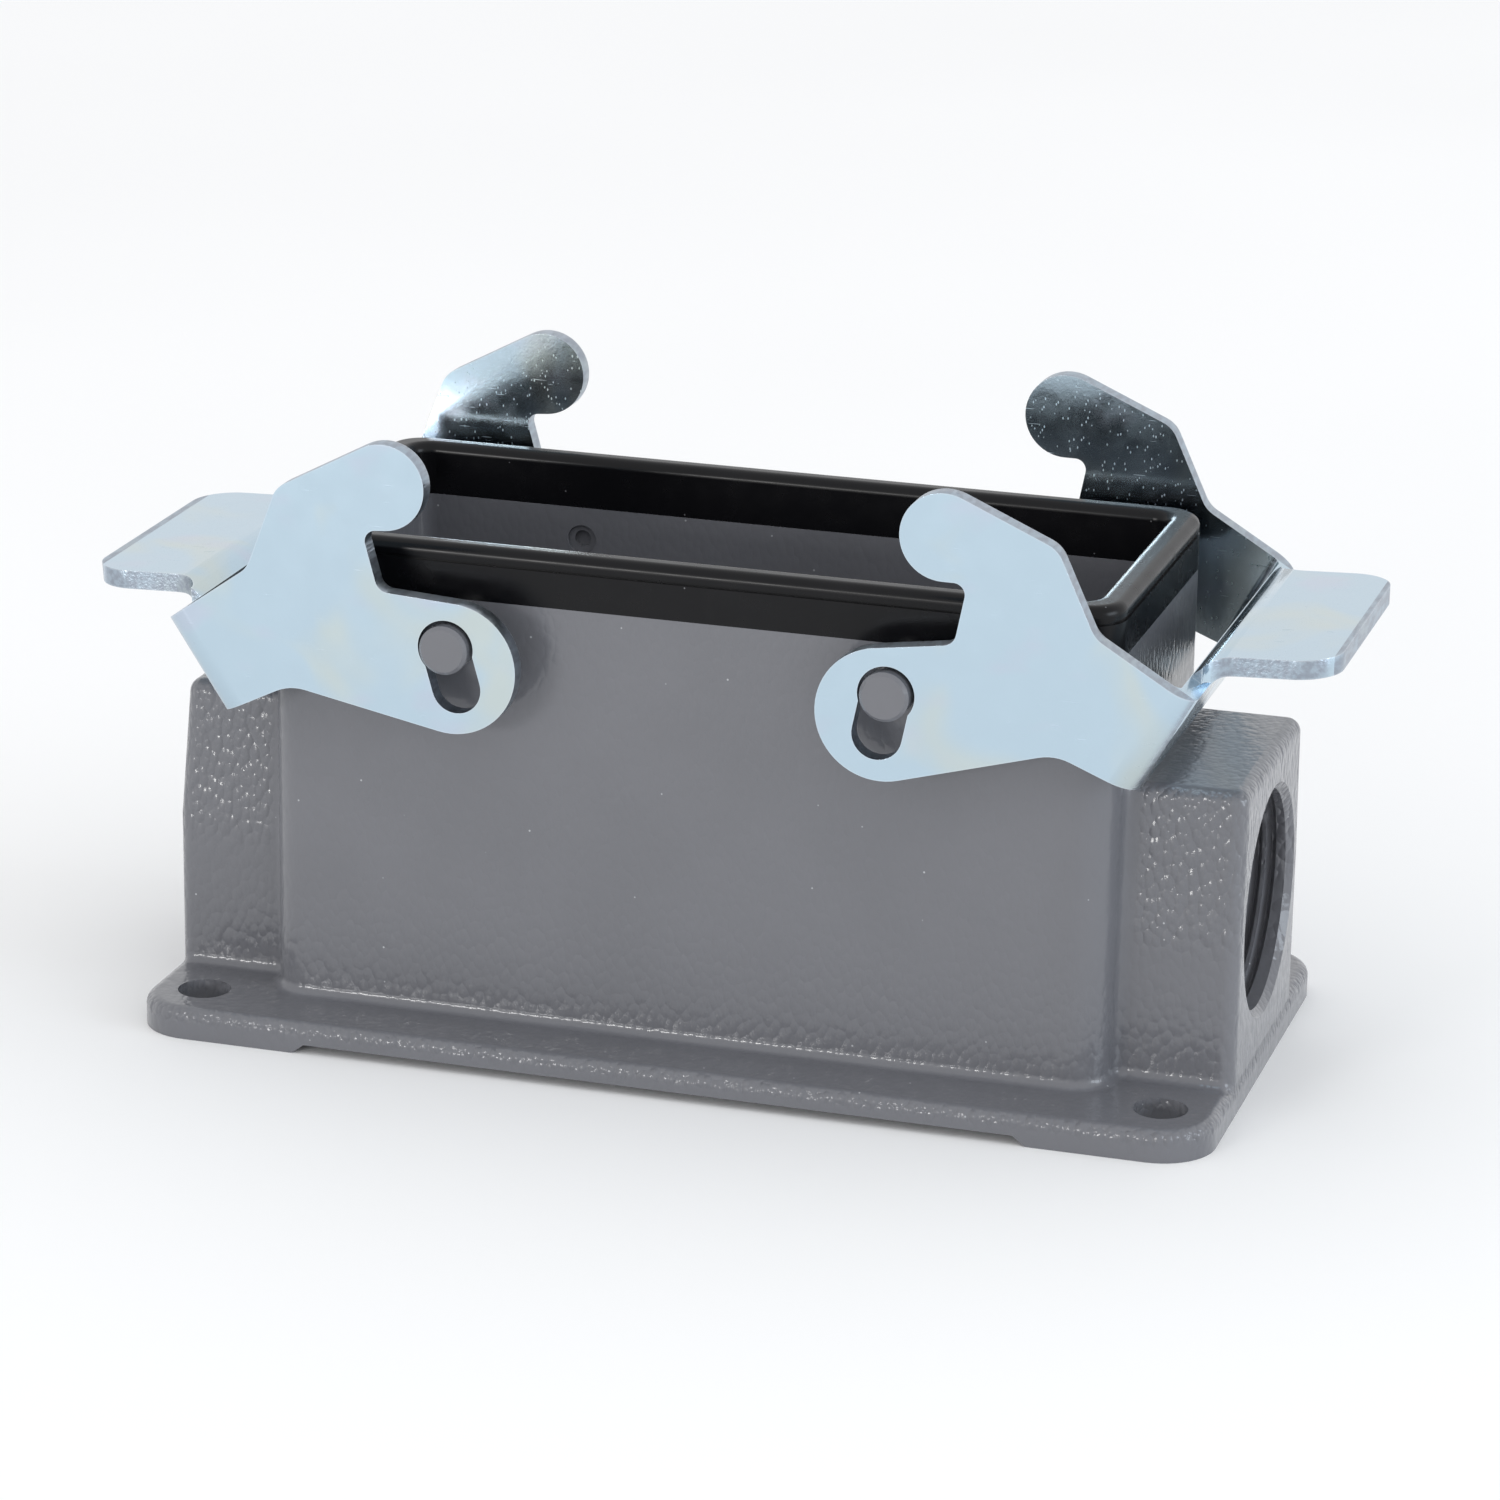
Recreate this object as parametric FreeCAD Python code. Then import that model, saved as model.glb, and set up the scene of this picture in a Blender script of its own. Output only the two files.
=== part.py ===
import FreeCAD, Part
import math
import os

# Surface-mounting housing of a heavy-duty rectangular connector, with two locking levers.
# Millimetres. +X is the threaded cable end, -Y the front, +Z up. The origin is the centre of
# the mounting plane, between the four flange holes.

Vector = FreeCAD.Vector

# Flange, standing on a pad at each end.
FLANGE_LENGTH = 117.0
FLANGE_WIDTH = 58.0
FLANGE_TOP = 3.4
FLANGE_CORNER = 6.0
FLANGE_EDGE = 1.2
HOLE_SPACING_X = 105.0
HOLE_SPACING_Y = 45.0
HOLE_DIAMETER = 5.7
RELIEF_HALF_LENGTH = 40.0
RELIEF_DEPTH = 1.05
RELIEF_RUN = 1.4

# Central box that takes the contact insert.
BODY_LENGTH = 91.6
BODY_WIDTH = 40.8
BODY_TOP = 49.25
BODY_CORNER = 4.0
CAVITY_LENGTH = 84.9
CAVITY_WIDTH = 34.6
CAVITY_CORNER = 2.0
CAVITY_FLOOR = 4.2
ROOT_FILLET = 1.1

# Corner posts with the tapped holes for the insert's M4 screws.
POST_SPACING_X = 77.5
POST_SPACING_Y = 27.0
POST_TOP = 39.0
POST_HALF = 4.0
POST_EDGE = 3.0
POST_HOLE_DIAMETER = 3.3
POST_HOLE_DEPTH = 12.0

# End towers, all but flush with the ends of the flange.
TOWER_REACH = FLANGE_LENGTH / 2 - 0.1
TOWER_WIDTH = 30.0
TOWER_TOP = 35.1
TOWER_EDGE = 1.6
TOWER_TOP_EDGE = 1.45
TOWER_JOIN = 1.5
TOWER_TAPER = 0.9
TOWER_TAPER_FROM = 20.0
POCKET_WALL = 3.2
POCKET_CORNER = 1.5
POCKET_TOP = 31.5

# M25 x 1.5 cable entry in the +X tower.
ENTRY_HEIGHT = 19.1
THREAD_MAJOR = 25.0
THREAD_PITCH = 1.5
THREAD_LENGTH = 11.0
THREAD_MINOR = THREAD_MAJOR - 1.0825 * THREAD_PITCH
THREAD_ROOT_FLAT = THREAD_PITCH / 8
THREAD_FLANK_ANGLE = 30.0
ENTRY_MOUTH = 24.9
ENTRY_BORE = 22.0

# Rubber seal: a channel that sits on the tongue round the rim of the opening.
SEAL_TOP = 55.0
SEAL_LENGTH_IN = 85.1
SEAL_WIDTH_IN = 34.8
SEAL_EDGE = 1.1
SEAL_GROOVE_DEPTH = 0.35
SEAL_GROOVE_HEIGHT = 0.45
SEAL_GROOVE_TOP = 53.5
TONGUE_TOP = 53.0
TONGUE_THICKNESS = 1.3

# Pivot pins: a plain end for the lever and a thinner spigot, which stops short of the wall's
# inner face.
PIN_X = 23.5
PIN_Z = 45.65
PIN_DIAMETER = 5.2
PIN_TIP_Y = 27.45
PIN_CHAMFER = 0.35
PIN_SHOULDER_Y = 18.6
SPIGOT_DIAMETER = 3.2
SPIGOT_RECESS = 0.4
SPIGOT_DIMPLE_DIAMETER = 1.9
SPIGOT_DIMPLE_DEPTH = 0.7
PIN_CLEARANCE = 0.03

# Levers, bent from sheet steel. Outline points are (out, up) from the pivot, with the lever
# at the angle in which its web leans WEB_ANGLE from the horizontal. Angles are in degrees.
SHEET = 2.0
ARM_OUTER_Y = 26.4
BEND_INNER = 1.0
KNOB_CENTRE = (5.55, 16.95)
KNOB_RADIUS = 4.55
NOTCH_TOP = (8.15, 12.4)
NOTCH_TOP_RADIUS = 1.2
NOTCH_BOTTOM = (6.9, 5.95)
NOTCH_BOTTOM_RADIUS = 1.5
LOBE_CENTRE = (-0.42, -2.15)
LOBE_RADIUS = 7.0
LOBE_FROM = 98.0
LOBE_TO = 285.5
WAIST = (17.6, -4.4)
WAIST_RADIUS = 5.0
SHOULDER = (17.25, 16.8)
NECK = (21.3, 8.1)
NECK_RADIUS = 3.0
NECK_SLOPE = -31.0
WEB_ANGLE = 61.25
WEB_DISTANCE = 26.5
WEB_FOOT_SLOPE = -22.0
SLOT_UPPER_DIAMETER = 6.0
SLOT_LOWER_DIAMETER = 5.3
SLOT_TRAVEL = 4.35
SLOT_LEAN = 11.3
TAB_HALF_WIDTH = 16.6
TAB_TOP_AT_PIVOT = 3.1
TAB_SLOPE = 2.6
TAB_END = 43.7
TAB_CORNER = 4.5
TAB_BEND_INNER = 2.0
TAB_FLARE = 3.0
TAB_ROOT = 1.5
TAB_ROOT_BACK = 0.6
OPEN_TURN_LEFT = 4.5
OPEN_TURN_RIGHT = 0.0

# Modelling allowances: how far a cutting tool runs past the face it cuts, and how closely an
# edge is matched when it is picked by place.
PAST = 1.0
CLOSE = 0.01


def rounded_wire(length, width, corner, height):
    """A level rounded rectangle, centred on the Z axis."""
    box = Part.makeBox(length, width, 1.0, Vector(-length / 2, -width / 2, height))
    rounded = box.makeFillet(corner, edges_where(box, lambda p, e: is_upright(e)))
    base = min(rounded.Faces, key=lambda face: face.CenterOfMass.z)
    return base.OuterWire


def rounded_block(length, width, corner, bottom, top):
    face = Part.Face(rounded_wire(length, width, corner, bottom))
    return face.extrude(Vector(0, 0, top - bottom))


def edges_where(shape, test):
    """Edges whose middle point passes the test."""
    chosen = []
    for edge in shape.Edges:
        middle = edge.valueAt((edge.FirstParameter + edge.LastParameter) / 2)
        if test(middle, edge):
            chosen.append(edge)
    return chosen


def is_upright(edge):
    return edge.BoundBox.ZLength > 0.9 * edge.Length


def four_corners(spacing_x, spacing_y):
    for sign_x in (-1, 1):
        for sign_y in (-1, 1):
            yield sign_x * spacing_x / 2, sign_y * spacing_y / 2


def make_flange():
    plate = rounded_block(FLANGE_LENGTH, FLANGE_WIDTH, FLANGE_CORNER, 0.0, FLANGE_TOP)
    rim = edges_where(plate, lambda p, e: abs(p.z - FLANGE_TOP) < CLOSE)
    return plate.makeFillet(FLANGE_EDGE, rim)


def make_relief():
    """The shallow recess under the flange that leaves a pad at each end."""
    long_half = RELIEF_HALF_LENGTH
    short_half = RELIEF_HALF_LENGTH - RELIEF_RUN
    side = -FLANGE_WIDTH
    corners = [
        Vector(-long_half, side, -CLOSE),
        Vector(long_half, side, -CLOSE),
        Vector(short_half, side, RELIEF_DEPTH),
        Vector(-short_half, side, RELIEF_DEPTH),
    ]
    face = Part.Face(Part.makePolygon(corners + corners[:1]))
    return face.extrude(Vector(0, 2 * FLANGE_WIDTH, 0))


def make_towers():
    """Both end towers as one long block through the box, rounded on its upright edges and top.

    Above mid height the sides lean inwards, and so does the end of the blind tower.
    """
    length = 2 * TOWER_REACH
    lower = rounded_block(length, TOWER_WIDTH, TOWER_EDGE, 0.0, TOWER_TAPER_FROM)
    foot = rounded_wire(length, TOWER_WIDTH, TOWER_EDGE, TOWER_TAPER_FROM)
    top_length = length - TOWER_TAPER
    top = rounded_wire(top_length, TOWER_WIDTH - 2 * TOWER_TAPER, TOWER_EDGE, TOWER_TOP)
    top.translate(Vector(TOWER_TAPER / 2, 0, 0))
    upper = Part.makeLoft([foot, top], True, True)
    crest = edges_where(upper, lambda p, e: abs(p.z - TOWER_TOP) < CLOSE)
    return [lower, upper.makeFillet(TOWER_TOP_EDGE, crest)]


def make_outside():
    """Flange, box and towers as one casting, with filleted roots."""
    box = rounded_block(BODY_LENGTH, BODY_WIDTH, BODY_CORNER, 0.0, BODY_TOP)
    casting = make_flange().fuse([box] + make_towers()).removeSplitter()
    half_length = BODY_LENGTH / 2
    half_tower = TOWER_WIDTH / 2

    def is_root(p, edge):
        inside = abs(p.x) < FLANGE_LENGTH / 2 - FLANGE_EDGE - CLOSE
        return abs(p.z - FLANGE_TOP) < CLOSE and inside and abs(p.y) < BODY_WIDTH / 2 + CLOSE

    def is_join(p, edge):
        on_wall = abs(abs(p.x) - half_length) < CLOSE
        on_tower = half_tower - TOWER_TAPER < abs(p.y) < half_tower + CLOSE
        return on_wall and on_tower and is_upright(edge)

    joins = edges_where(casting, is_join)
    casting = casting.makeFillet(TOWER_JOIN, joins)
    return casting.makeFillet(ROOT_FILLET, edges_where(casting, is_root))


def make_tongue():
    """The thin upstand round the opening that carries the seal."""
    seal_wall = (BODY_LENGTH - SEAL_LENGTH_IN) / 2
    inset = (seal_wall - TONGUE_THICKNESS) / 2
    length = BODY_LENGTH - 2 * inset
    width = BODY_WIDTH - 2 * inset
    thick = 2 * TONGUE_THICKNESS
    bottom = BODY_TOP - PAST
    outside = rounded_block(length, width, BODY_CORNER - inset, bottom, TONGUE_TOP)
    inside = rounded_block(length - thick, width - thick, CAVITY_CORNER, bottom, TONGUE_TOP)
    return outside.cut(inside)


def make_posts():
    """Four posts in the corners of the cavity, each rounded on its inward edge."""
    low_x = POST_SPACING_X / 2 - POST_HALF
    low_y = POST_SPACING_Y / 2 - POST_HALF
    size_x = CAVITY_LENGTH / 2 + PAST / 2 - low_x
    size_y = CAVITY_WIDTH / 2 + PAST / 2 - low_y
    bottom = CAVITY_FLOOR - PAST
    block = Part.makeBox(size_x, size_y, POST_TOP - bottom, Vector(low_x, low_y, bottom))

    def is_inward(p, edge):
        return is_upright(edge) and p.x < low_x + CLOSE and p.y < low_y + CLOSE

    post = block.makeFillet(POST_EDGE, edges_where(block, is_inward))
    pair = [post, post.mirror(Vector(0, 0, 0), Vector(0, 1, 0))]
    return pair + [one.mirror(Vector(0, 0, 0), Vector(1, 0, 0)) for one in pair]


def make_post_holes():
    holes = []
    for x, y in four_corners(POST_SPACING_X, POST_SPACING_Y):
        bottom = Vector(x, y, POST_TOP - POST_HOLE_DEPTH)
        holes.append(Part.makeCylinder(POST_HOLE_DIAMETER / 2, POST_HOLE_DEPTH + PAST, bottom))
    return holes


def make_blind_pocket():
    """Hollow of the blind tower, open underneath."""
    start = BODY_LENGTH / 2
    end = TOWER_REACH - TOWER_TAPER - POCKET_WALL
    width = TOWER_WIDTH - 2 * POCKET_WALL
    corner = Vector(-end, -width / 2, -PAST)
    block = Part.makeBox(end - start, width, POCKET_TOP + PAST, corner)
    return block.makeFillet(POCKET_CORNER, edges_where(block, lambda p, e: is_upright(e)))


def make_entry():
    """The M25 cable entry: mouth chamfer, threaded length and plain bore into the cavity."""
    axis = Vector(1, 0, 0)
    radius = THREAD_MINOR / 2
    bore_start = Vector(CAVITY_LENGTH / 2 - PAST, 0, ENTRY_HEIGHT)
    bore = Part.makeCylinder(ENTRY_BORE / 2, TOWER_REACH - bore_start.x, bore_start, axis)
    thread_start = Vector(TOWER_REACH - THREAD_LENGTH, 0, ENTRY_HEIGHT)
    core = Part.makeCylinder(radius, THREAD_LENGTH + PAST, thread_start, axis)
    mouth_depth = ENTRY_MOUTH / 2 - radius
    mouth_start = Vector(TOWER_REACH - mouth_depth, 0, ENTRY_HEIGHT)
    mouth = Part.makeCone(radius, ENTRY_MOUTH / 2, mouth_depth, mouth_start, axis)
    groove = make_thread_groove(THREAD_LENGTH - mouth_depth - THREAD_PITCH)
    groove.rotate(Vector(0, 0, 0), Vector(0, 1, 0), 90)
    groove.translate(thread_start + Vector(THREAD_PITCH / 2, 0, 0))
    return [bore, core, mouth, groove]


def make_thread_groove(height):
    """Helical groove along +Z, from inside the minor diameter out to the major diameter."""
    radius = THREAD_MINOR / 2
    outer = THREAD_MAJOR / 2
    open_at = radius - CLOSE
    inner = radius - THREAD_PITCH / 3
    outer_half = THREAD_ROOT_FLAT / 2
    open_half = outer_half + (outer - open_at) * math.tan(math.radians(THREAD_FLANK_ANGLE))
    corners = [
        Vector(inner, 0, -open_half),
        Vector(open_at, 0, -open_half),
        Vector(outer, 0, -outer_half),
        Vector(outer, 0, outer_half),
        Vector(open_at, 0, open_half),
        Vector(inner, 0, open_half),
    ]
    profile = Part.makePolygon(corners + corners[:1])
    helix = Part.makeHelix(THREAD_PITCH, height, radius)
    return Part.Wire(helix.Edges).makePipeShell([profile], True, True)


def make_pin_holes():
    """Stepped bore for each pivot pin: wide from outside, narrow through to the cavity."""
    holes = []
    shoulder_y = PIN_SHOULDER_Y - PIN_CLEARANCE
    inner_y = CAVITY_WIDTH / 2 - PAST
    for sign_x in (-1, 1):
        for sign_y in (-1, 1):
            axis = Vector(0, sign_y, 0)
            shoulder = Vector(sign_x * PIN_X, sign_y * shoulder_y, PIN_Z)
            inner = Vector(sign_x * PIN_X, sign_y * inner_y, PIN_Z)
            wide = Part.makeCylinder(PIN_DIAMETER / 2 + PIN_CLEARANCE, BODY_WIDTH / 2, shoulder, axis)
            reach = shoulder_y - inner_y + CLOSE
            narrow = Part.makeCylinder(SPIGOT_DIAMETER / 2 + PIN_CLEARANCE, reach, inner, axis)
            holes += [wide, narrow]
    return holes


def make_screw_holes():
    holes = []
    for x, y in four_corners(HOLE_SPACING_X, HOLE_SPACING_Y):
        bottom = Vector(x, y, -PAST)
        holes.append(Part.makeCylinder(HOLE_DIAMETER / 2, FLANGE_TOP + 2 * PAST, bottom))
    return holes


def make_housing():
    cavity = rounded_block(CAVITY_LENGTH, CAVITY_WIDTH, CAVITY_CORNER, CAVITY_FLOOR, SEAL_TOP)
    casting = make_outside().fuse(make_tongue()).removeSplitter()
    casting = casting.cut([cavity, make_relief(), make_blind_pocket()])
    casting = casting.fuse(make_posts()).removeSplitter()
    tools = make_post_holes() + make_screw_holes() + make_pin_holes() + make_entry()
    for tool in tools:
        casting = casting.cut(tool)
    return casting


def make_seal():
    """Channel-section seal with a rounded crest and a shallow line under it."""
    outside = rounded_block(BODY_LENGTH, BODY_WIDTH, BODY_CORNER, BODY_TOP, SEAL_TOP)
    inside = rounded_block(SEAL_LENGTH_IN, SEAL_WIDTH_IN, CAVITY_CORNER, BODY_TOP, SEAL_TOP)
    ring = outside.cut(inside)
    crest = edges_where(ring, lambda p, e: abs(p.z - SEAL_TOP) < CLOSE)
    ring = ring.makeFillet(SEAL_EDGE, crest)
    groove_bottom = SEAL_GROOVE_TOP - SEAL_GROOVE_HEIGHT
    wide_length = BODY_LENGTH + PAST
    wide_width = BODY_WIDTH + PAST
    band = rounded_block(wide_length, wide_width, BODY_CORNER, groove_bottom, SEAL_GROOVE_TOP)
    core_length = BODY_LENGTH - 2 * SEAL_GROOVE_DEPTH
    core_width = BODY_WIDTH - 2 * SEAL_GROOVE_DEPTH
    core_corner = BODY_CORNER - SEAL_GROOVE_DEPTH
    core = rounded_block(core_length, core_width, core_corner, groove_bottom, SEAL_GROOVE_TOP)
    return ring.cut(make_tongue()).cut(band.cut(core))


def make_pin(sign_x, sign_y):
    """Pin built along +Y at the origin height, then placed."""
    radius = PIN_DIAMETER / 2
    shoulder = Vector(0, PIN_SHOULDER_Y, 0)
    axis = Vector(0, 1, 0)
    stem = Part.makeCylinder(radius, PIN_TIP_Y - PIN_SHOULDER_Y, shoulder, axis)
    tip = edges_where(stem, lambda p, e: abs(p.y - PIN_TIP_Y) < CLOSE)
    stem = stem.makeChamfer(PIN_CHAMFER, tip)
    spigot_start = Vector(0, CAVITY_WIDTH / 2 + SPIGOT_RECESS, 0)
    spigot_length = PIN_SHOULDER_Y - spigot_start.y
    spigot = Part.makeCylinder(SPIGOT_DIAMETER / 2, spigot_length, spigot_start, axis)
    dimple = Part.makeCylinder(SPIGOT_DIMPLE_DIAMETER / 2, SPIGOT_DIMPLE_DEPTH, spigot_start, axis)
    pin = stem.fuse(spigot).cut(dimple)
    if sign_y < 0:
        pin.rotate(Vector(0, 0, 0), Vector(0, 0, 1), 180)
    pin.translate(Vector(sign_x * PIN_X, 0, PIN_Z))
    return pin


def unit(angle):
    """Unit direction in the (out, up) plane, at an angle in degrees from out."""
    return (math.cos(math.radians(angle)), math.sin(math.radians(angle)))


def along(point, direction, distance):
    return (point[0] + direction[0] * distance, point[1] + direction[1] * distance)


def crossing(point_a, dir_a, point_b, dir_b):
    """Where two lines in the (out, up) plane cross."""
    det = dir_a[0] * dir_b[1] - dir_a[1] * dir_b[0]
    gap = (point_b[0] - point_a[0], point_b[1] - point_a[1])
    distance = (gap[0] * dir_b[1] - gap[1] * dir_b[0]) / det
    return along(point_a, dir_a, distance)


def upright(point, y=0.0):
    return Vector(point[0], y, point[1])


def web_point(inset):
    """A point on the line of the web's outer face, or on a line inset from it."""
    return along((0, 0), unit(WEB_ANGLE - 90), WEB_DISTANCE - inset)


def web_top():
    """Where the arm's falling upper edge meets the web's outer face."""
    return crossing(NECK, unit(NECK_SLOPE), web_point(0), unit(WEB_ANGLE))


def round_corner(before, corner, after, radius):
    """Tangent points and the arc's middle point for one rounded corner."""
    def direction(target):
        gap = (target[0] - corner[0], target[1] - corner[1])
        size = math.hypot(*gap)
        return (gap[0] / size, gap[1] / size)

    dir_a = direction(before)
    dir_b = direction(after)
    half = math.acos(dir_a[0] * dir_b[0] + dir_a[1] * dir_b[1]) / 2
    run = radius / math.tan(half)
    middle_dir = direction((corner[0] + dir_a[0] + dir_b[0], corner[1] + dir_a[1] + dir_b[1]))
    middle = along(corner, middle_dir, radius / math.sin(half) - radius)
    return along(corner, dir_a, run), middle, along(corner, dir_b, run)


def arm_outline():
    """Closed outline of one arm: hooked knob above, slotted lobe at the pivot, web edge outside."""
    slope_top = math.degrees(math.atan2(SHOULDER[1] - KNOB_CENTRE[1], SHOULDER[0] - KNOB_CENTRE[0]))
    reach_top = math.dist(SHOULDER, KNOB_CENTRE)
    angle_top = slope_top + 90 - math.degrees(math.asin(KNOB_RADIUS / reach_top))
    knob_top = along(KNOB_CENTRE, unit(angle_top), KNOB_RADIUS)
    knob_side = along(KNOB_CENTRE, unit((angle_top + 270) / 2), KNOB_RADIUS)
    knob_foot = along(KNOB_CENTRE, unit(270), KNOB_RADIUS)
    lobe_top = along(LOBE_CENTRE, unit(LOBE_FROM), LOBE_RADIUS)
    lobe_side = along(LOBE_CENTRE, unit((LOBE_FROM + LOBE_TO) / 2), LOBE_RADIUS)
    lobe_foot = along(LOBE_CENTRE, unit(LOBE_TO), LOBE_RADIUS)
    foot = crossing(WAIST, unit(WEB_FOOT_SLOPE), web_point(0), unit(WEB_ANGLE))
    top = web_top()
    notch_top = round_corner(knob_foot, NOTCH_TOP, NOTCH_BOTTOM, NOTCH_TOP_RADIUS)
    notch_bottom = round_corner(NOTCH_TOP, NOTCH_BOTTOM, lobe_top, NOTCH_BOTTOM_RADIUS)
    waist = round_corner(lobe_foot, WAIST, foot, WAIST_RADIUS)
    neck = round_corner(top, NECK, SHOULDER, NECK_RADIUS)
    shoulder = round_corner(NECK, SHOULDER, knob_top, NECK_RADIUS)
    steps = [
        (knob_foot, notch_top[0]),
        notch_top,
        (notch_top[2], notch_bottom[0]),
        notch_bottom,
        (notch_bottom[2], lobe_top),
        (lobe_top, lobe_side, lobe_foot),
        (lobe_foot, waist[0]),
        waist,
        (waist[2], foot),
        (foot, top),
        (top, neck[0]),
        neck,
        (neck[2], shoulder[0]),
        shoulder,
        (shoulder[2], knob_top),
        (knob_top, knob_side, knob_foot),
    ]
    return steps_to_wire(steps)


def steps_to_wire(steps):
    """Two points are a line, three an arc."""
    edges = []
    for step in steps:
        points = [upright(point) for point in step]
        if len(points) == 2:
            edges.append(Part.makeLine(points[0], points[1]))
        else:
            edges.append(Part.Arc(points[0], points[1], points[2]).toShape())
    return Part.Wire(Part.__sortEdges__(edges))


def make_slot():
    """Keyhole for the pin: wide at the top, just wider than the pin below."""
    depth = Vector(0, 4 * ARM_OUTER_Y, 0)
    back = -2 * ARM_OUTER_Y
    lower = along((0, 0), unit(270 - SLOT_LEAN), SLOT_TRAVEL)
    axis = Vector(0, 1, 0)
    wide = Part.makeCylinder(SLOT_UPPER_DIAMETER / 2, depth.y, upright((0, 0), back), axis)
    radius = SLOT_LOWER_DIAMETER / 2
    end = Part.makeCylinder(radius, depth.y, upright(lower, back), axis)
    side = unit(-SLOT_LEAN)
    corners = [
        upright(along((0, 0), side, radius), back),
        upright(along(lower, side, radius), back),
        upright(along(lower, side, -radius), back),
        upright(along((0, 0), side, -radius), back),
    ]
    flanks = Part.Face(Part.makePolygon(corners + corners[:1])).extrude(depth)
    return wide.fuse([end, flanks])


def make_channel():
    """Bent channel that the arms and the web are cut from: open inwards, web at the outer end."""
    reach = 4 * WEB_DISTANCE
    inner_y = ARM_OUTER_Y - SHEET

    def core(web_x, half_width, radius):
        corner = Vector(web_x - reach, -half_width, -reach / 2)
        block = Part.makeBox(reach, 2 * half_width, reach, corner)
        bends = edges_where(block, lambda p, e: is_upright(e) and p.x > web_x - CLOSE)
        return block.makeFillet(radius, bends)

    outside = core(WEB_DISTANCE, ARM_OUTER_Y, BEND_INNER + SHEET)
    channel = outside.cut(core(WEB_DISTANCE - SHEET, inner_y, BEND_INNER))
    channel.rotate(Vector(0, 0, 0), Vector(0, 1, 0), 90 - WEB_ANGLE)
    return channel


def make_tab():
    """Handle: the middle of the web's top edge, bent outwards, with rounded outer corners."""
    tab_dir = unit(TAB_SLOPE)
    web_dir = unit(WEB_ANGLE)
    under = unit(TAB_SLOPE - 90)
    upper = (0, TAB_TOP_AT_PIVOT)
    bend_top = crossing(upper, tab_dir, web_point(SHEET), web_dir)
    bend_under = crossing(along(upper, under, SHEET), tab_dir, web_point(0), web_dir)
    end_top = along(upper, tab_dir, TAB_END / math.cos(math.radians(TAB_SLOPE)))
    end_under = along(end_top, under, SHEET)
    start_out = along(web_top(), web_dir, -TAB_ROOT)
    start_in = along(start_out, unit(WEB_ANGLE + 90), SHEET)
    crown = round_corner(start_in, bend_top, end_top, TAB_BEND_INNER + SHEET)
    hollow = round_corner(start_out, bend_under, end_under, TAB_BEND_INNER)
    steps = [
        (start_out, start_in),
        (start_in, crown[0]),
        crown,
        (crown[2], end_top),
        (end_top, end_under),
        (end_under, hollow[2]),
        (hollow[2], hollow[1], hollow[0]),
        (hollow[0], start_out),
    ]
    strip = Part.Face(steps_to_wire(steps)).extrude(Vector(0, 2 * ARM_OUTER_Y, 0))
    strip.translate(Vector(0, -ARM_OUTER_Y, 0))
    return strip.common(make_tab_plan())


def make_tab_plan():
    """The tab seen from above: flared where it leaves the web, rounded at its outer corners."""
    root = web_top()[0] - TAB_ROOT_BACK
    inside = root - TAB_FLARE - WEB_DISTANCE / 3
    width = TAB_HALF_WIDTH
    wide = width + TAB_FLARE
    flared = root + TAB_FLARE
    edge = TAB_CORNER
    bow = 1 - math.sqrt(0.5)
    steps = []
    for side in (-1, 1):
        flare_middle = (root + TAB_FLARE * bow, side * (width + TAB_FLARE * bow))
        corner_middle = (TAB_END - edge * bow, side * (width - edge * bow))
        steps.append(((inside, side * wide), (root, side * wide)))
        steps.append(((root, side * wide), flare_middle, (flared, side * width)))
        steps.append(((flared, side * width), (TAB_END - edge, side * width)))
        steps.append(((TAB_END - edge, side * width), corner_middle, (TAB_END, side * (width - edge))))
    steps.append(((inside, -wide), (inside, wide)))
    steps.append(((TAB_END, edge - width), (TAB_END, width - edge)))
    face = Part.Face(steps_to_wire(steps))
    face.rotate(Vector(0, 0, 0), Vector(1, 0, 0), -90)
    face.translate(Vector(0, 0, -TAB_END))
    return face.extrude(Vector(0, 0, 2 * TAB_END))


def make_lever():
    """One lever in its own frame, with the pivot on the Y axis."""
    blank = Part.Face(arm_outline())
    blank.translate(Vector(0, -2 * ARM_OUTER_Y, 0))
    blank = blank.extrude(Vector(0, 4 * ARM_OUTER_Y, 0))
    lever = make_channel().common(blank)
    lever = lever.fuse(make_tab()).removeSplitter()
    return lever.cut(make_slot())


def place_lever(sign_x, open_turn):
    """A lever on its pins: turned open, then put at its own end of the housing."""
    lever = make_lever()
    lever.rotate(Vector(0, 0, 0), Vector(0, 1, 0), open_turn)
    if sign_x < 0:
        lever.rotate(Vector(0, 0, 0), Vector(0, 0, 1), 180)
    lever.translate(Vector(sign_x * PIN_X, 0, PIN_Z))
    return lever


def main():
    nodes = {
        "housing": make_housing(),
        "rim_gasket": make_seal(),
        "lever_left": place_lever(-1, OPEN_TURN_LEFT),
        "lever_right": place_lever(1, OPEN_TURN_RIGHT),
        "pin_left_front": make_pin(-1, -1),
        "pin_left_rear": make_pin(-1, 1),
        "pin_right_front": make_pin(1, -1),
        "pin_right_rear": make_pin(1, 1),
    }
    os.makedirs("parts", exist_ok=True)
    for name, shape in nodes.items():
        shape.exportStep("parts/" + name + ".step")
        print(name, shape.isValid(), len(shape.Solids), round(shape.Volume, 1))


main()
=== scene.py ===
import math

import bpy
from mathutils import Matrix, Vector


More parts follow.
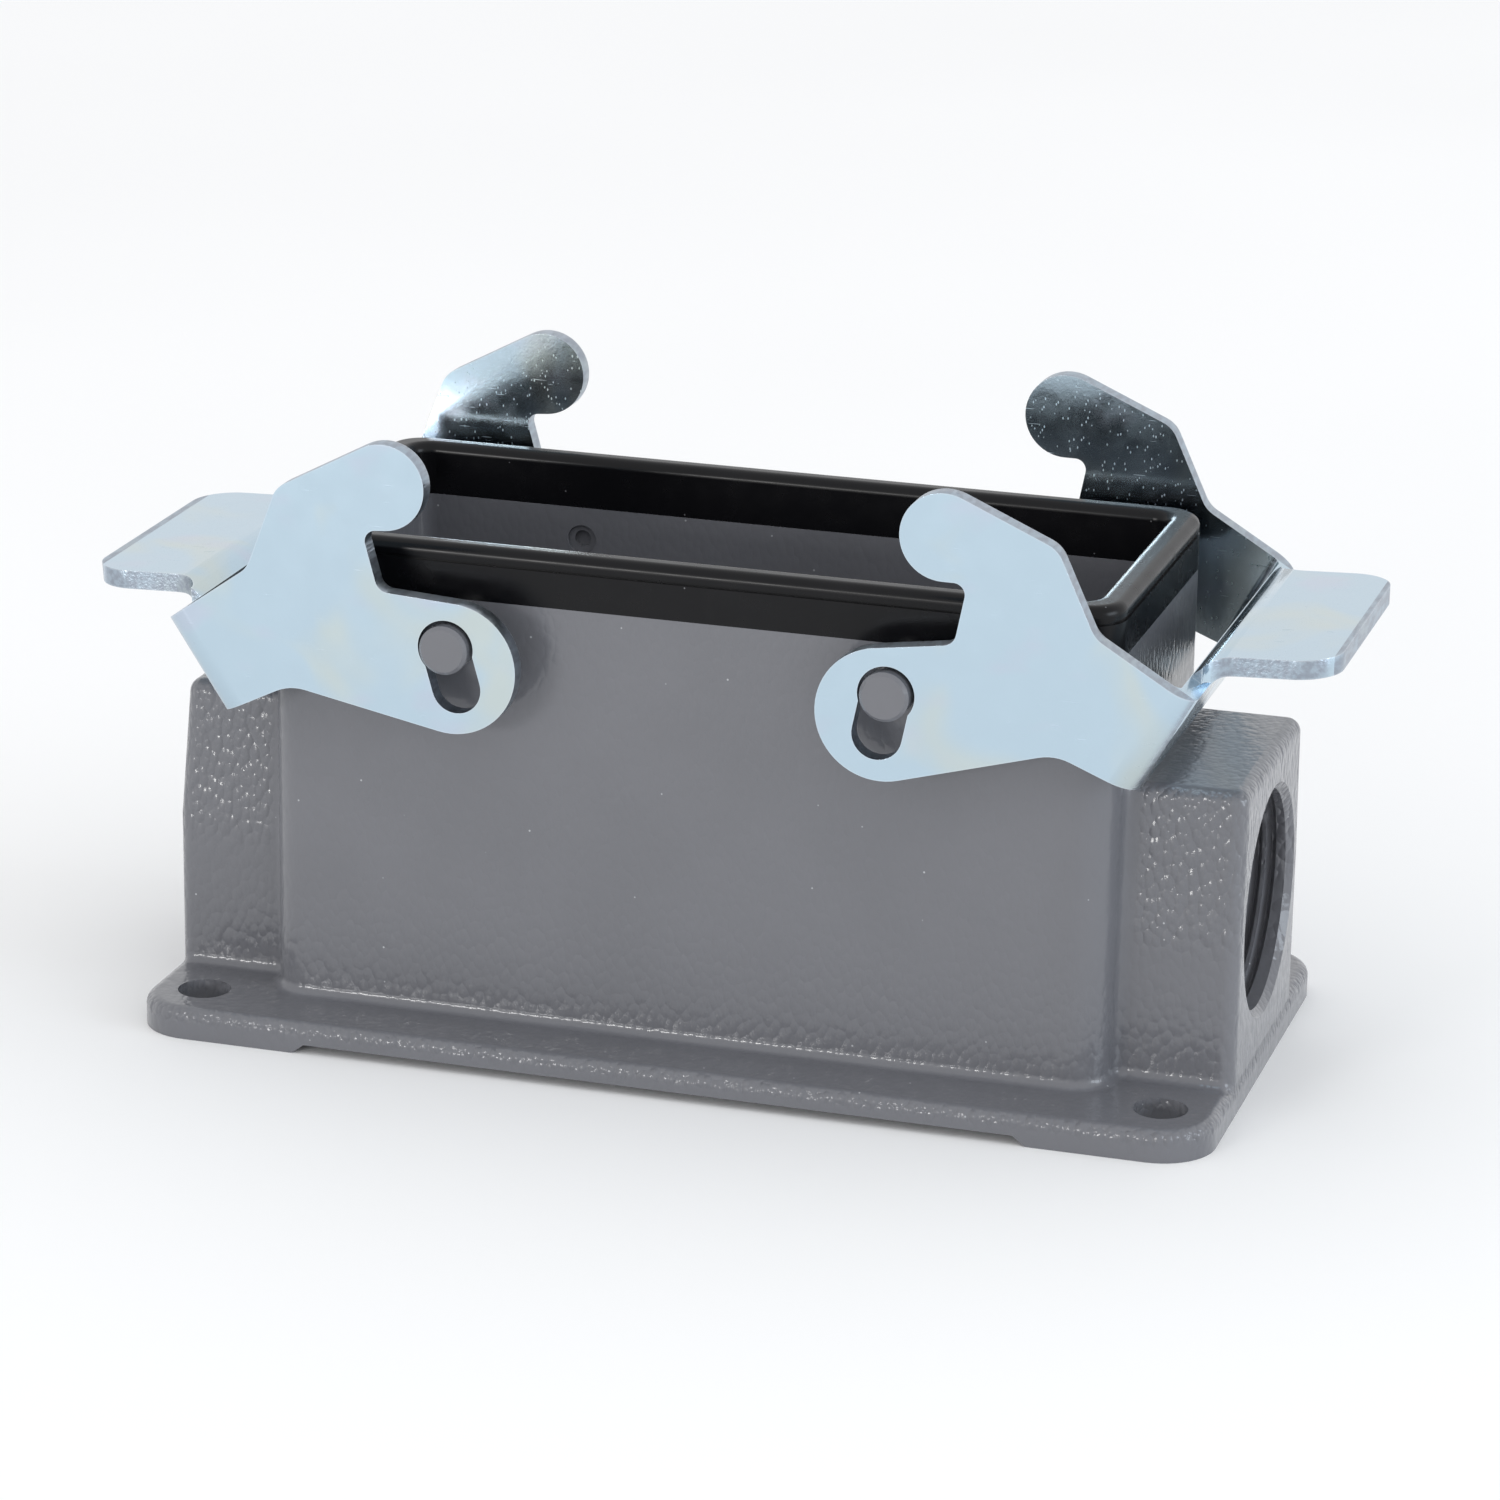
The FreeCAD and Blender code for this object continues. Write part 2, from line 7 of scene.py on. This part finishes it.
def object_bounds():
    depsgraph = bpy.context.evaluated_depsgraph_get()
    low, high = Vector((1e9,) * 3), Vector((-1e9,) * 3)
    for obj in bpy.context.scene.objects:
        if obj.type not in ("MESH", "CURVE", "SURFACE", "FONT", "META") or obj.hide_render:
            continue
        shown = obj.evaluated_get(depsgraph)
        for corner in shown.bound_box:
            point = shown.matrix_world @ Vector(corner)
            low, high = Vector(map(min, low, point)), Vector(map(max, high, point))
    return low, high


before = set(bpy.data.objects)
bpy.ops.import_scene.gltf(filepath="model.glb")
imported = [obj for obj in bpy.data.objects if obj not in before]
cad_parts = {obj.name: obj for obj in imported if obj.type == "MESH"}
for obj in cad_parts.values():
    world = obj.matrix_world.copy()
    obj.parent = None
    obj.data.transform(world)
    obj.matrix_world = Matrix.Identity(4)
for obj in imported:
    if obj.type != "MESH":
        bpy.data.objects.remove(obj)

# A surface-mount connector housing: hammered powder coat, satin black rubber rim,
# bright zinc-plated levers and coated pivot pins, on a pale studio floor.

CAD_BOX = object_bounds()
MM = 0.001

LEVERS = ("lever_left", "lever_right")
PINS = ("pin_left_front", "pin_left_rear", "pin_right_front", "pin_right_rear")

# A point on the part's middle line that the camera and the lights are placed round.
MIDDLE = Vector((0, 0, 30 * MM))

# Camera, from the front right and above, rolled a little and moved slightly right and down.
# Angles are in degrees.
CAMERA_YAW = 16.77
CAMERA_PITCH = 18.07
CAMERA_ROLL = 0.888
CAMERA_DISTANCE = 577.1 * MM
CAMERA_RIGHT = 1.36 * MM
CAMERA_DOWN = 0.77 * MM
CAMERA_LENS = 129.57
CAMERA_NEAR = 10 * MM

# Soft lights: name, azimuth and elevation in degrees, then distance, size, watts and colour.
LIGHTS = (
    ("key", -22, 9, 0.95, (0.26, 0.13), 1.9, (1.0, 0.99, 0.97)),
    ("right", 84, 16, 1.10, (0.55, 0.45), 3.6, (0.80, 0.90, 1.0)),
)

# Studio.
STUDIO_COLOUR = (0.985, 0.99, 1.0, 1)
STUDIO_STRENGTH = 0.98
FLOOR_SIZE = 6.0
FLOOR_DARKER = (0.93, 0.93, 0.93, 1)
FLOOR_LIGHTER = (0.95, 0.95, 0.95, 1)
FLOOR_ROUGHNESS = 0.9
FLOOR_SPECULAR = 0.1

# Sheared edges of the levers: corners within WELD_WITHIN are joined, faces within FLAT_WITHIN
# degrees count as one, and edges sharper than SHARP_ABOVE degrees are rounded.
WELD_WITHIN = 0.001 * MM
EDGE_ROUND = 0.25 * MM
EDGE_SEGMENTS = 3
FLAT_WITHIN = 1.0
SHARP_ABOVE = 30.0

# Dots of each material: cells per millimetre, radius in cells, share of the cells with a dot.
COAT_DOTS = (0.42, 0.06, 0.35)
ZINC_DOTS = (3.8, 0.36, 0.16)
RUBBER_DOTS = (0.5, 0.055, 0.30)
DOT_CORE = 0.4

# Patches of each material: noise per millimetre, detail, distortion, and the two levels of the
# noise between which a patch comes up. Wear is the same, for how rough a surface is.
COAT_PATCHES = (0.05, 3.0, 0.0, 0.35, 0.65)
COAT_WEAR = (0.6, 3.0, 0.0, 0.3, 0.7)
GLOSS_WEAR = (0.9, 2.0, 0.0, 0.3, 0.7)
WARM_PATCHES = (0.075, 2.0, 0.6, 0.50, 0.70)
PINK_PATCHES = (0.11, 2.0, 0.0, 0.55, 0.75)
TORN_STREAKS = (1.6, 2.0, 0.0, 0.35, 0.65)
ZINC_WEAR = (0.35, 3.0, 0.0, 0.3, 0.7)
ZINC_SCRATCHES = (1.1, 1.0, 0.0, 0.72, 0.78)
RUBBER_PATCHES = (0.12, 4.0, 0.0, 0.5, 0.8)
RUBBER_WEAR = (0.4, 3.0, 0.0, 0.3, 0.7)
FLOOR_PATCHES = (0.004, 2.0, 0.0, 0.3, 0.7)

# Grain of each relief: noise per millimetre and detail.
COAT_GRAIN = (3.2, 2.0)
TORN_GRAIN = (1.2, 2.0)
WAVE_GRAIN = (0.14, 1.0)
ROLLED_GRAIN = (2.2, 2.0)
RUBBER_GRAIN = (1.2, 2.0)

# How patterns on the levers are drawn out along each axis, some after a turn in degrees.
PINK_STRETCH = (1, 1, 1.7)
STREAK_STRETCH = (1.0, 0.3, 1.0)
TORN_STRETCH = (3.0, 0.35, 3.0)
NEEDLE_STRETCH = (1.0, 1.0, 0.5)
NEEDLE_TURN = (0, 20, 0)
SCRATCH_STRETCH = (0.25, 1.0, 6.0)
SCRATCH_TURN = (0, 35, 0)

# Powder coat. Its relief is PEEL_DEPTH deep where its share is one. Heights and distances along
# the part are in millimetres in the piece's own coordinates.
COAT_COLOUR = (0.136, 0.139, 0.154, 1)
COAT_LIGHT = (0.144, 0.147, 0.163, 1)
COAT_SPECK = (0.42, 0.43, 0.45, 1)
PEEL_PER_MM = 1.35
PEEL_STRETCH = 0.62
PEEL_SLANT = 32.0
PEEL_SMOOTHNESS = 0.22
PEEL_RANDOMNESS = 0.95
PEEL_DEPTH = 0.21 * MM
GRAIN_SHARE = 0.14
WALL_SHARE = 0.16
ROOT_SHARE = 0.20
LEVEL_SHARE = 0.22
LOWER_SHARE = 0.24
RIM_SHARE = 1.25
PIN_SHARE = 0.25
TOWER_FROM = 47.5
TOWER_BLEND = 0.6
LEAN_FROM = 18.0
LEAN_BLEND = 2.0
FLANGE_TOP = 3.4
FLANGE_BLEND = 0.1
RIM_BELOW_TOP = 1.0
RIM_BLEND = 0.8
ROOT_TOP = 14.0
ROOT_BLEND = 5.0
ROOT_ABOVE_FLANGE = 1.5
LEVEL_FROM = 0.6
LEVEL_FULL = 0.95
COAT_SPECULAR = 0.3
COAT_ROUGHNESS = (0.30, 0.42)
GLOSS_WEIGHT = 0.7
GLOSS_ROUGHNESS = (0.07, 0.12)

# Zinc. The arms lie further across than ARM_INSIDE, and a tab's tip further along than TAB_TIP,
# both in millimetres. A FACING pair is how directly a face looks one way, from none to full.
ZINC_COLOUR = (0.490, 0.615, 0.705, 1)
ZINC_WARM = (0.560, 0.625, 0.610, 1)
ZINC_PINK = (0.535, 0.580, 0.690, 1)
ZINC_SHEARED = (0.300, 0.335, 0.390, 1)
# The colour below is a painted highlight, laid on the plate's sharp corners.
ZINC_CORNER_HIGHLIGHT = (0.780, 0.830, 0.880, 1)
ARM_INSIDE = 24.35
TAB_TIP = 66.6
ARM_EDGE_FACING = (0.75, 0.35)
TAB_EDGE_FACING = (0.5, 0.8)
CORNER_FACING = (0.995, 0.90)
CORNER_SAMPLES = 4
STREAK_SHARES = (0.60, 0.95)
WARM_SHARE = 0.85
PINK_SHARE = 0.6
# The share below is how strongly the painted corner highlight is laid on.
CORNER_HIGHLIGHT_SHARE = 0.35
OUTER_FACE_SHARE = 0.04
INNER_FACE_FROM = 5.0
ZINC_ROUGHNESS = (0.13, 0.19)
SPANGLE_ROUGHNESS = 0.30
SCRATCH_ROUGHNESS = 0.20
TORN_ROUGHNESS = 0.18
TORN_DEPTH = 0.05 * MM
WAVE_DEPTH = 0.02 * MM
ROLLED_DEPTH = 0.004 * MM

# Rubber.
RUBBER_COLOUR = (0.0035, 0.0035, 0.0045, 1)
RUBBER_DUST = (0.16, 0.16, 0.17, 1)
RUBBER_FILM = 0.012
RUBBER_SPECULAR = 0.22
RUBBER_ROUGHNESS = (0.22, 0.28)
RUBBER_DEPTH = 0.0015 * MM


def make_node(tree, kind, inputs=None, **settings):
    """A shader node. An input is a plain value or another node's output."""
    made = tree.nodes.new(kind)
    for name, value in settings.items():
        setattr(made, name, value)
    for key, value in (inputs or {}).items():
        socket = made.inputs[key]
        if isinstance(value, bpy.types.NodeSocket):
            tree.links.new(value, socket)
        else:
            socket.default_value = value
    return made


def millimetres(tree):
    """The piece's own coordinates, in millimetres."""
    place = make_node(tree, "ShaderNodeTexCoord").outputs["Object"]
    inputs = {0: place, "Scale": 1 / MM}
    return make_node(tree, "ShaderNodeVectorMath", inputs, operation="SCALE").outputs[0]


def stretched(tree, place, scale, turn=(0, 0, 0)):
    """Coordinates turned by degrees and then scaled along each axis."""
    turned = [math.radians(angle) for angle in turn]
    inputs = {"Vector": place, "Rotation": turned, "Scale": scale}
    return make_node(tree, "ShaderNodeMapping", inputs).outputs[0]


def noise(tree, place, scale, detail=2.0, distortion=0.0):
    inputs = {"Vector": place, "Scale": scale, "Detail": detail, "Distortion": distortion}
    return make_node(tree, "ShaderNodeTexNoise", inputs).outputs[0]


def ramp(tree, value, low, high, start=0.0, end=1.0):
    """Smooth change from start to end as value goes from low to high."""
    inputs = {"Value": value, "From Min": low, "From Max": high, "To Min": start, "To Max": end}
    made = make_node(tree, "ShaderNodeMapRange", inputs, interpolation_type="SMOOTHSTEP")
    return made.outputs[0]


def uneven(tree, place, pattern, limits=(0.0, 1.0)):
    """A value that drifts between two limits from place to place."""
    per_mm, detail, distortion, low, high = pattern
    return ramp(tree, noise(tree, place, per_mm, detail, distortion), low, high, *limits)


def maths(tree, operation, first, second=0.0):
    inputs = {0: first, 1: second}
    return make_node(tree, "ShaderNodeMath", inputs, operation=operation).outputs[0]


def times(tree, first, second):
    return maths(tree, "MULTIPLY", first, second)


def plus(tree, first, second):
    return maths(tree, "ADD", first, second)


def mix(tree, share, first, second):
    """Colour between first and second."""
    inputs = {0: share, 6: first, 7: second}
    return make_node(tree, "ShaderNodeMix", inputs, data_type="RGBA").outputs[2]


def axis_of(tree, place, axis):
    """One part of a vector: 0 is along X, 1 along Y and 2 along Z."""
    return make_node(tree, "ShaderNodeSeparateXYZ", {0: place}).outputs[axis]


def specks(tree, place, per_mm, radius, share):
    """Round dots with a radius in cells. The given share of the cells holds one each."""
    cells = make_node(tree, "ShaderNodeTexVoronoi", {"Vector": place, "Scale": per_mm})
    dot = ramp(tree, cells.outputs["Distance"], radius, radius * DOT_CORE)
    chosen = axis_of(tree, cells.outputs["Color"], 0)
    return times(tree, dot, maths(tree, "LESS_THAN", chosen, share))


def edge_share(tree, radius):
    """One on sharp edges, nothing on flat faces."""
    rounded = make_node(tree, "ShaderNodeBevel", {"Radius": radius}, samples=CORNER_SAMPLES).outputs[0]
    flat = make_node(tree, "ShaderNodeNewGeometry").outputs["True Normal"]
    inputs = {0: rounded, 1: flat}
    same = make_node(tree, "ShaderNodeVectorMath", inputs, operation="DOT_PRODUCT").outputs["Value"]
    return ramp(tree, same, *CORNER_FACING)


def bump(tree, height, depth, under=None):
    """Relief with a depth in metres, on top of the relief under it if there is one."""
    inputs = {"Height": height, "Distance": depth, "Strength": 1.0}
    if under is not None:
        inputs["Normal"] = under
    return make_node(tree, "ShaderNodeBump", inputs).outputs[0]


def start_material(name):
    material = bpy.data.materials.new(name)
    material.use_nodes = True
    return material, material.node_tree, material.node_tree.nodes["Principled BSDF"]


def connect(tree, shader, inputs):
    for name, value in inputs.items():
        if isinstance(value, bpy.types.NodeSocket):
            tree.links.new(value, shader.inputs[name])
        else:
            shader.inputs[name].default_value = value


def object_normal(tree):
    """The surface's direction in the piece's own axes."""
    normal = make_node(tree, "ShaderNodeNewGeometry").outputs["Normal"]
    return make_node(tree, "ShaderNodeVectorTransform", {0: normal}, vector_type="NORMAL",
                     convert_from="WORLD", convert_to="OBJECT").outputs[0]


def peel_depth(tree, place):
    """The coat's relief: strong on the leaning upper sides of the end towers and on the flange's
    rounded edge, fine on the walls and level faces, a little stronger near the walls' root."""
    along = maths(tree, "ABSOLUTE", axis_of(tree, place, 0))
    height = axis_of(tree, place, 2)
    on_tower = ramp(tree, along, TOWER_FROM - TOWER_BLEND, TOWER_FROM + TOWER_BLEND)
    low, high = LEAN_FROM - LEAN_BLEND, LEAN_FROM + LEAN_BLEND
    strength = ramp(tree, height, low, high, LOWER_SHARE, 1.0)
    tower = maths(tree, "MAXIMUM", times(tree, on_tower, strength), WALL_SHARE)
    rim_from = FLANGE_TOP - RIM_BELOW_TOP
    above_side = ramp(tree, height, rim_from - RIM_BLEND, rim_from, 0.0, RIM_SHARE)
    below_top = ramp(tree, height, FLANGE_TOP + FLANGE_BLEND, FLANGE_TOP - FLANGE_BLEND)
    rim = times(tree, above_side, below_top)
    low, high = ROOT_TOP - ROOT_BLEND, ROOT_TOP + ROOT_BLEND
    below = ramp(tree, height, high, low, 0.0, ROOT_SHARE)
    above_flange = ramp(tree, height, FLANGE_TOP, FLANGE_TOP + ROOT_ABOVE_FLANGE)
    root = times(tree, below, above_flange)
    facing_up = axis_of(tree, object_normal(tree), 2)
    level = ramp(tree, facing_up, LEVEL_FROM, LEVEL_FULL, 1.0, LEVEL_SHARE)
    relief = plus(tree, plus(tree, tower, root), rim)
    share = times(tree, relief, level)
    return times(tree, share, PEEL_DEPTH)


def hammered(tree, place):
    """Round-topped cells, drawn out along one slant, with a fine grain over them."""
    slanted = stretched(tree, place, (1.0, 1.0, PEEL_STRETCH), (0, PEEL_SLANT, 0))
    inputs = {"Vector": slanted, "Scale": PEEL_PER_MM, "Smoothness": PEEL_SMOOTHNESS,
              "Randomness": PEEL_RANDOMNESS}
    cells = make_node(tree, "ShaderNodeTexVoronoi", inputs, feature="SMOOTH_F1").outputs["Distance"]
    domes = maths(tree, "SUBTRACT", 1.0, times(tree, cells, cells))
    grain = times(tree, noise(tree, place, *COAT_GRAIN), GRAIN_SHARE)
    return plus(tree, domes, grain)


def powder_coat(name, depth_share=1.0):
    material, tree, shader = start_material(name)
    place = millimetres(tree)
    colour = mix(tree, uneven(tree, place, COAT_PATCHES), COAT_COLOUR, COAT_LIGHT)
    colour = mix(tree, specks(tree, place, *COAT_DOTS), colour, COAT_SPECK)
    depth = times(tree, peel_depth(tree, place), depth_share)
    relief = bump(tree, hammered(tree, place), depth)
    connect(tree, shader, {
        "Base Color": colour,
        "Roughness": uneven(tree, place, COAT_WEAR, COAT_ROUGHNESS),
        "Specular IOR Level": COAT_SPECULAR,
        "Coat Weight": GLOSS_WEIGHT,
        "Coat Roughness": uneven(tree, place, GLOSS_WEAR, GLOSS_ROUGHNESS),
        "Normal": relief,
        "Coat Normal": relief,
    })
    return material


def sheared_share(tree, place):
    """One on the cut edges of the lever sheet, nothing on its rolled faces."""
    sideways = maths(tree, "ABSOLUTE", axis_of(tree, object_normal(tree), 1))
    across = maths(tree, "ABSOLUTE", axis_of(tree, place, 1))
    along = maths(tree, "ABSOLUTE", axis_of(tree, place, 0))
    in_arm = maths(tree, "GREATER_THAN", across, ARM_INSIDE)
    arm_edge = times(tree, in_arm, ramp(tree, sideways, *ARM_EDGE_FACING))
    in_web = maths(tree, "SUBTRACT", 1.0, in_arm)
    tab_edge = times(tree, in_web, ramp(tree, sideways, *TAB_EDGE_FACING))
    tip = maths(tree, "GREATER_THAN", along, TAB_TIP)
    return maths(tree, "MAXIMUM", maths(tree, "MAXIMUM", arm_edge, tab_edge), tip)


def zinc_colour(tree, place, sheared):
    """Pale blue plate with faint warm and pink patches, duller on cut edges, with a painted highlight
    along the corners.
    """
    warm = uneven(tree, place, WARM_PATCHES)
    pink = uneven(tree, stretched(tree, place, PINK_STRETCH), PINK_PATCHES)
    colour = mix(tree, times(tree, warm, WARM_SHARE), ZINC_COLOUR, ZINC_WARM)
    colour = mix(tree, times(tree, pink, PINK_SHARE), colour, ZINC_PINK)
    drawn = stretched(tree, place, STREAK_STRETCH)
    streaks = uneven(tree, drawn, TORN_STREAKS, STREAK_SHARES)
    colour = mix(tree, times(tree, sheared, streaks), colour, ZINC_SHEARED)
    # Painted highlight: sharp corners are lightened towards a pale colour.
    corner = times(tree, edge_share(tree, EDGE_ROUND), CORNER_HIGHLIGHT_SHARE)
    return mix(tree, corner, colour, ZINC_CORNER_HIGHLIGHT)


def inner_share(tree, place):
    """One on the faces that the two arms turn to each other, little on their outer faces."""
    facing = axis_of(tree, object_normal(tree), 1)
    outward = times(tree, facing, axis_of(tree, place, 1))
    return ramp(tree, outward, INNER_FACE_FROM, -INNER_FACE_FROM, OUTER_FACE_SHARE, 1.0)


def zinc_roughness(tree, place, sheared):
    """Smooth plate with dull spangles, fine scratches and a torn grain on the cut edges."""
    rough = uneven(tree, place, ZINC_WEAR, ZINC_ROUGHNESS)
    needles = stretched(tree, place, NEEDLE_STRETCH, NEEDLE_TURN)
    dots = specks(tree, needles, *ZINC_DOTS)
    inner_dots = times(tree, dots, inner_share(tree, place))
    spangle = times(tree, inner_dots, SPANGLE_ROUGHNESS)
    lines = stretched(tree, place, SCRATCH_STRETCH, SCRATCH_TURN)
    scratch = times(tree, uneven(tree, lines, ZINC_SCRATCHES), SCRATCH_ROUGHNESS)
    marks = plus(tree, spangle, scratch)
    torn = times(tree, sheared, TORN_ROUGHNESS)
    return plus(tree, rough, plus(tree, marks, torn))


def zinc():
    material, tree, shader = start_material("bright_zinc_plate")
    place = millimetres(tree)
    sheared = sheared_share(tree, place)
    torn = noise(tree, stretched(tree, place, TORN_STRETCH), *TORN_GRAIN)
    torn_depth = times(tree, sheared, TORN_DEPTH)
    waves = bump(tree, noise(tree, place, *WAVE_GRAIN), WAVE_DEPTH)
    rolled = bump(tree, noise(tree, place, *ROLLED_GRAIN), ROLLED_DEPTH, waves)
    connect(tree, shader, {
        "Base Color": zinc_colour(tree, place, sheared),
        "Metallic": 1.0,
        "Roughness": zinc_roughness(tree, place, sheared),
        "Normal": bump(tree, torn, torn_depth, rolled),
    })
    return material


def rubber():
    material, tree, shader = start_material("satin_black_rubber")
    place = millimetres(tree)
    dust = specks(tree, place, *RUBBER_DOTS)
    film = uneven(tree, place, RUBBER_PATCHES, (0.0, RUBBER_FILM))
    colour = mix(tree, plus(tree, dust, film), RUBBER_COLOUR, RUBBER_DUST)
    connect(tree, shader, {
        "Base Color": colour,
        "Roughness": uneven(tree, place, RUBBER_WEAR, RUBBER_ROUGHNESS),
        "Specular IOR Level": RUBBER_SPECULAR,
        "Normal": bump(tree, noise(tree, place, *RUBBER_GRAIN), RUBBER_DEPTH),
    })
    return material


def floor_material():
    material, tree, shader = start_material("pale_floor")
    place = millimetres(tree)
    shade = uneven(tree, place, FLOOR_PATCHES)
    connect(tree, shader, {
        "Base Color": mix(tree, shade, FLOOR_DARKER, FLOOR_LIGHTER),
        "Roughness": FLOOR_ROUGHNESS,
        "Specular IOR Level": FLOOR_SPECULAR,
    })
    return material


def dress(nodes, material):
    for name in nodes:
        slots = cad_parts[name].data.materials
        slots.clear()
        slots.append(material)


def round_lever_edges(name):
    """Rounds the sheared edges of a bent plate, after its flat faces are joined up."""
    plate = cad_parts[name]
    weld = plate.modifiers.new("weld", "WELD")
    weld.merge_threshold = WELD_WITHIN
    flats = plate.modifiers.new("flats", "DECIMATE")
    flats.decimate_type = "DISSOLVE"
    flats.angle_limit = math.radians(FLAT_WITHIN)
    edges = plate.modifiers.new("edges", "BEVEL")
    edges.width = EDGE_ROUND
    edges.segments = EDGE_SEGMENTS
    edges.limit_method = "ANGLE"
    edges.angle_limit = math.radians(SHARP_ABOVE)
    edges.harden_normals = True


def make_floor():
    bpy.ops.mesh.primitive_plane_add(size=FLOOR_SIZE, location=(0, 0, CAD_BOX[0].z))
    floor = bpy.context.object
    floor.name = "floor"
    floor.data.materials.append(floor_material())


def direction(azimuth, elevation):
    """Unit vector from the part; azimuth 0 is the front and positive goes to the right."""
    turn, rise = math.radians(azimuth), math.radians(elevation)
    level = math.cos(rise)
    return Vector((math.sin(turn) * level, -math.cos(turn) * level, math.sin(rise)))


def soft_light(name, azimuth, elevation, distance, size, power, colour):
    light = bpy.data.lights.new(name, "AREA")
    light.shape = "RECTANGLE"
    light.size, light.size_y = size
    light.energy = power
    light.color = colour
    lamp = bpy.data.objects.new(name, light)
    toward = direction(azimuth, elevation)
    lamp.location = MIDDLE + toward * distance
    lamp.rotation_euler = toward.to_track_quat("Z", "Y").to_euler()
    bpy.context.scene.collection.objects.link(lamp)


def make_world():
    """Soft white surroundings."""
    world = bpy.data.worlds.new("studio")
    world.use_nodes = True
    bpy.context.scene.world = world
    shader = world.node_tree.nodes["Background"]
    shader.inputs["Color"].default_value = STUDIO_COLOUR
    shader.inputs["Strength"].default_value = STUDIO_STRENGTH


def make_camera():
    back = direction(CAMERA_YAW, CAMERA_PITCH)
    turn = math.radians(CAMERA_YAW)
    right = Vector((math.cos(turn), math.sin(turn), 0))
    up = back.cross(right)
    aim = MIDDLE + right * CAMERA_RIGHT - up * CAMERA_DOWN
    roll = math.radians(CAMERA_ROLL)
    side = right * math.cos(roll) + up * math.sin(roll)
    top = up * math.cos(roll) - right * math.sin(roll)
    camera = bpy.data.objects.new("camera", bpy.data.cameras.new("camera"))
    camera.location = aim + back * CAMERA_DISTANCE
    camera.rotation_euler = Matrix((side, top, back)).transposed().to_euler()
    camera.data.lens = CAMERA_LENS
    camera.data.clip_start = CAMERA_NEAR
    bpy.context.scene.collection.objects.link(camera)
    bpy.context.scene.camera = camera


dress(["housing"], powder_coat("hammered_powder_coat"))
dress(PINS, powder_coat("coated_pin", PIN_SHARE))
dress(["rim_gasket"], rubber())
dress(LEVERS, zinc())
for lever in LEVERS:
    round_lever_edges(lever)
make_floor()
make_world()
for light in LIGHTS:
    soft_light(*light)
make_camera()
bpy.context.scene.view_settings.view_transform = "Standard"
